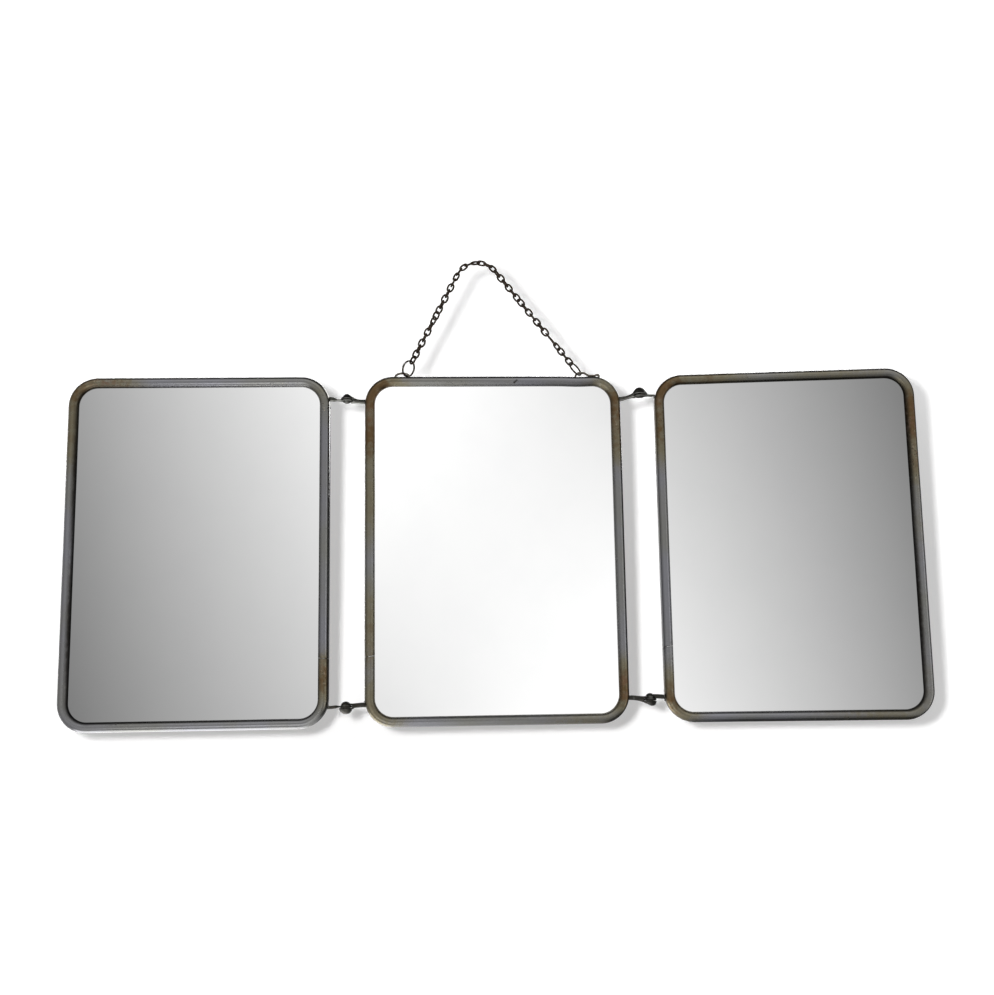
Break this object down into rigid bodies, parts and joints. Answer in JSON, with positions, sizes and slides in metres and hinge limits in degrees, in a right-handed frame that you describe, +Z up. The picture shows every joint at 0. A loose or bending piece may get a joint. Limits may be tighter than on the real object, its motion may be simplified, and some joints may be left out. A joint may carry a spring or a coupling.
{
  "type": "barber mirror",
  "caption": "Folding triptych mirror in rolled metal rims: two wings on riveted arms at the sides of a centre panel, hung from a peg by a short chain.",
  "frame": {"origin": "where the chain rests on top of its peg, in the plane of the chain", "axes": "+X to the right as seen from the front, +Y towards the wall, +Z up; the mirrors face -Y"},
  "size_m": [0.653, 0.0382, 0.3649],
  "materials": {
    "nickel_rim": "aged nickel plate on rolled sheet, worn, spotted and browned",
    "mirror_glass": "silvered plate glass",
    "packing_card": "grey paperboard, matt",
    "backboard": "thin stained softwood board, matt, straight grain",
    "hinge_steel": "blackened mild steel, dull and rubbed",
    "staple_wire": "drawn iron wire, dull grey-brown",
    "chain_steel": "bronzed steel, dull brown"
  },
  "bodies": {
    "chain": {"end_ring_left": "chain_steel", "end_ring_right": "chain_steel", "chain_links_01_02": "chain_steel", "chain_links_03_04": "chain_steel", "chain_links_05_06": "chain_steel", "chain_links_07_08": "chain_steel", "chain_links_09_10": "chain_steel", "chain_links_11_12": "chain_steel", "chain_links_13_14": "chain_steel", "chain_links_15_16": "chain_steel", "chain_links_17_18": "chain_steel", "chain_links_19_20": "chain_steel", "chain_links_21_22": "chain_steel", "chain_links_23_24": "chain_steel", "chain_links_25_26": "chain_steel", "chain_links_27_28": "chain_steel", "chain_links_29_30": "chain_steel", "chain_links_31_32": "chain_steel", "chain_links_33_34": "chain_steel", "chain_links_35_36": "chain_steel", "chain_links_37_38": "chain_steel", "chain_links_39_40": "chain_steel", "chain_links_41_42": "chain_steel"},
    "centre_panel": {"rim_centre": "nickel_rim", "mirror_centre": "mirror_glass", "packing_card_centre": "packing_card", "backboard_centre": "backboard", "arm_centre_top_left": "hinge_steel", "arm_centre_bottom_left": "hinge_steel", "arm_centre_top_right": "hinge_steel", "arm_centre_bottom_right": "hinge_steel", "pivot_rivet_top_left": "hinge_steel", "pivot_rivet_bottom_left": "hinge_steel", "pivot_rivet_top_right": "hinge_steel", "pivot_rivet_bottom_right": "hinge_steel", "staple_left": "staple_wire", "staple_right": "staple_wire"},
    "left_wing": {"rim_left": "nickel_rim", "mirror_left": "mirror_glass", "packing_card_left": "packing_card", "backboard_left": "backboard", "arm_wing_top_left": "hinge_steel", "arm_wing_bottom_left": "hinge_steel"},
    "right_wing": {"rim_right": "nickel_rim", "mirror_right": "mirror_glass", "packing_card_right": "packing_card", "backboard_right": "backboard", "arm_wing_top_right": "hinge_steel", "arm_wing_bottom_right": "hinge_steel"}
  },
  "joints": [
    {"name": "panel_swing", "type": "hinge", "parent": "chain", "child": "centre_panel", "pos_m": [0.011, 0, -0.0878], "axis": [1, 0, 0], "range_deg": [-22, 22]},
    {"name": "left_wing_fold", "type": "hinge", "parent": "centre_panel", "child": "left_wing", "pos_m": [-0.103, 0, -0.2255], "axis": [0, 0, 1], "range_deg": [-119.4, 120.6]},
    {"name": "right_wing_fold", "type": "hinge", "parent": "centre_panel", "child": "right_wing", "pos_m": [0.127, 0, -0.2255], "axis": [0, 0, -1], "range_deg": [-126.9, 113.1]}
  ]
}
